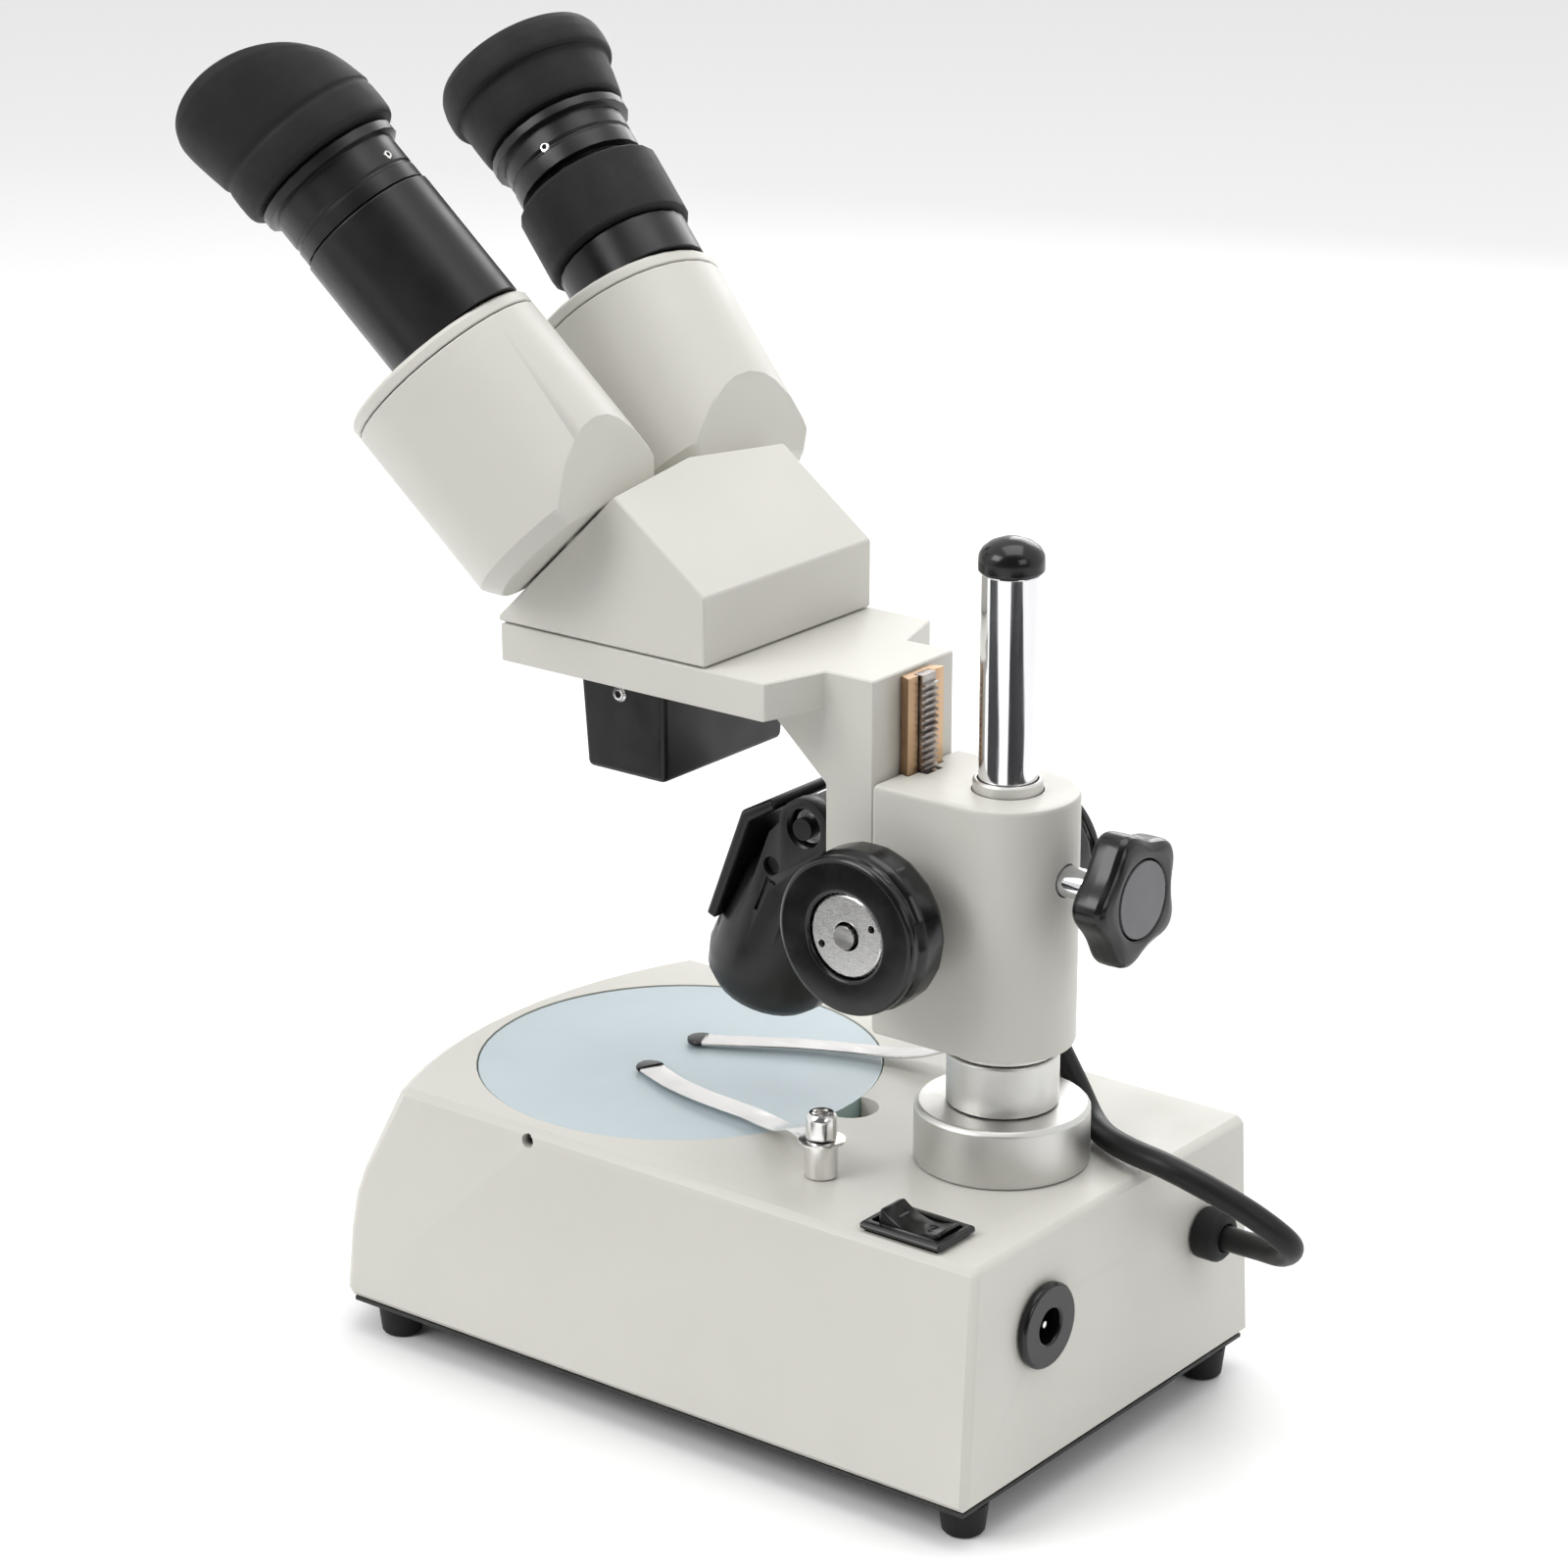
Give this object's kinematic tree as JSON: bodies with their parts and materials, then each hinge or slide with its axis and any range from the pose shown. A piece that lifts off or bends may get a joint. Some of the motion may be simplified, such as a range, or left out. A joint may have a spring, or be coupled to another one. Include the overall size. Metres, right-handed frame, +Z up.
{
  "type": "stereo microscope",
  "caption": "Stereo microscope on a pillar stand: inclined binocular head with turning prism pods, rack focus, pivoting upper lamp, lit base with a glass stage plate and spring clips.",
  "frame": {"origin": "on the table, under the middle of the box around the microscope (its lead left out)", "axes": "+Z up; +Y towards the rear, where the pillar and the inlet are, so the operator sits at -Y; +X is the operator's right"},
  "size_m": [0.1238, 0.2531, 0.3041],
  "materials": {
    "ivory_paint": "satin ivory paint over cast metal",
    "black_metal": "satin black anodised",
    "black_plastic": "satin black moulding",
    "black_sheet": "black painted sheet",
    "rubber": "matt black rubber",
    "chrome": "polished chrome",
    "satin_aluminium": "satin turned",
    "bright_steel": "bright",
    "brass": "milled",
    "frosted_glass": "frosted",
    "clear_glass": "polished and coated",
    "lamp_board": "white emitter board",
    "grey_disc": "matt grey inlay"
  },
  "bodies": {
    "base": {"base_housing": "ivory_paint", "bottom_plate": "black_sheet", "foot_front_right": "rubber", "foot_front_left": "rubber", "foot_rear_right": "rubber", "foot_rear_left": "rubber", "stage_plate": "frosted_glass", "stage_lamp_reflector": "chrome", "stage_lamp_board": "lamp_board", "switch_bezel": "black_plastic", "dc_socket": "black_plastic", "cable_gland": "rubber", "clip_post_right": "bright_steel", "clip_post_left": "bright_steel", "pillar_flange": "satin_aluminium", "stop_collar": "satin_aluminium", "pillar": "chrome", "pillar_cap": "black_plastic", "lamp_lead": "rubber"},
    "rocker": {"switch_rocker": "black_plastic"},
    "right_clip": {"clip_spring_right": "bright_steel", "clip_screw_right": "bright_steel"},
    "left_clip": {"clip_spring_left": "bright_steel", "clip_screw_left": "bright_steel"},
    "height_sleeve": {"height_bush": "satin_aluminium"},
    "focus_head": {"head_casting": "ivory_paint"},
    "clamp_slide": {"clamp_screw": "chrome"},
    "clamp_handle": {"clamp_knob": "black_plastic", "clamp_knob_disc": "grey_disc"},
    "focus_drive": {"focus_shaft": "bright_steel", "focus_knob_right": "black_plastic", "focus_knob_left": "black_plastic", "knob_disc_right": "satin_aluminium", "knob_disc_left": "satin_aluminium"},
    "focus_arm": {"arm_casting": "ivory_paint", "dovetail_slide": "brass", "focus_rack": "bright_steel", "prism_block": "ivory_paint", "objective_housing": "black_plastic", "objective_lens_right": "clear_glass", "objective_lens_left": "clear_glass", "lamp_bracket": "black_plastic"},
    "right_pod": {"pod_housing_right": "ivory_paint", "pod_cap_right": "ivory_paint", "erecting_prism_right": "clear_glass", "eyepiece_tube_right": "black_metal", "eyepiece_right": "black_metal", "eye_lens_right": "clear_glass"},
    "left_pod": {"pod_housing_left": "ivory_paint", "pod_cap_left": "ivory_paint", "erecting_prism_left": "clear_glass", "eyepiece_tube_left": "black_metal"},
    "left_eyepiece": {"eyepiece_left": "black_metal", "eye_lens_left": "clear_glass"},
    "diopter": {"diopter_ring": "rubber"},
    "right_eyecup": {"eyecup_right": "rubber"},
    "left_eyecup": {"eyecup_left": "rubber"},
    "upper_lamp": {"lamp_housing": "black_plastic", "lamp_cover": "black_plastic", "lamp_lens": "clear_glass"}
  },
  "joints": [
    {"name": "rocker_tilt", "type": "hinge", "parent": "base", "child": "rocker", "pos_m": [0.0445, 0.08475, 0.063], "axis": [1, 0, 0], "range_deg": [0, 14]},
    {"name": "right_clip_swing", "type": "hinge", "parent": "base", "child": "right_clip", "pos_m": [0.0331, 0.0504, 0.073], "axis": [0, 0, 1], "range_deg": [-4, 50]},
    {"name": "left_clip_swing", "type": "hinge", "parent": "base", "child": "left_clip", "pos_m": [-0.0331, 0.0504, 0.073], "axis": [0, 0, 1], "range_deg": [-50, 4]},
    {"name": "height_slide", "type": "slide", "parent": "base", "child": "height_sleeve", "axis": [0, 0, 1], "range_m": [0, 0.04]},
    {"name": "head_swivel", "type": "hinge", "parent": "height_sleeve", "child": "focus_head", "pos_m": [0, 0.0755, 0.12], "axis": [0, 0, 1], "range_deg": [-25, 25], "deforming": ["lamp_lead"]},
    {"name": "clamp_travel", "type": "slide", "parent": "focus_head", "child": "clamp_slide", "axis": [0, 1, 0], "range_m": [0, 0.0038]},
    {"name": "clamp_turn", "type": "hinge", "parent": "clamp_slide", "child": "clamp_handle", "pos_m": [0, 0.105, 0.1333], "axis": [0, 1, 0], "range_deg": [0, 1080]},
    {"name": "focus_travel", "type": "slide", "parent": "focus_head", "child": "focus_arm", "axis": [0, 0, 1], "range_m": [-0.012, 0.024]},
    {"name": "focus_turn", "type": "hinge", "parent": "focus_head", "child": "focus_drive", "pos_m": [0, 0.0588, 0.1236], "axis": [1, 0, 0], "range_deg": [-344, 172]},
    {"name": "lamp_tilt", "type": "hinge", "parent": "focus_arm", "child": "upper_lamp", "pos_m": [0, 0.0299, 0.1355], "axis": [1, 0, 0], "range_deg": [-25, 6]},
    {"name": "right_pod_turn", "type": "hinge", "parent": "focus_arm", "child": "right_pod", "pos_m": [0.0253, -0.02297, 0.19605], "axis": [0.1305, -0.6887, 0.7132], "range_deg": [-10, 70]},
    {"name": "left_pod_turn", "type": "hinge", "parent": "focus_arm", "child": "left_pod", "pos_m": [-0.0253, -0.02297, 0.19605], "axis": [-0.1305, -0.6887, 0.7132], "range_deg": [-70, 10]},
    {"name": "diopter_turn", "type": "hinge", "parent": "left_pod", "child": "diopter", "pos_m": [-0.03444, -0.06471, 0.25222], "axis": [-0.1305, -0.6887, 0.7132], "range_deg": [-90.3, 90.3]},
    {"name": "left_eyepiece_travel", "type": "slide", "parent": "left_pod", "child": "left_eyepiece", "axis": [-0.1305, -0.6887, 0.7132], "range_m": [-0.002, 0.002]},
    {"name": "right_eyecup_turn", "type": "hinge", "parent": "right_pod", "child": "right_eyecup", "pos_m": [0.03887, -0.08813, 0.27647], "axis": [0.1305, -0.6887, 0.7132], "continuous": true},
    {"name": "left_eyecup_turn", "type": "hinge", "parent": "left_eyepiece", "child": "left_eyecup", "pos_m": [-0.03887, -0.08813, 0.27647], "axis": [-0.1305, -0.6887, 0.7132], "continuous": true}
  ],
  "couplings": [
    {"joint": "clamp_travel", "follows": "clamp_turn", "m_per_rad": 0.000199},
    {"joint": "focus_turn", "follows": "focus_travel", "rad_per_m": -250},
    {"joint": "left_pod_turn", "follows": "right_pod_turn", "ratio": -1},
    {"joint": "diopter_turn", "follows": "left_eyepiece_travel", "rad_per_m": 785.4}
  ]
}
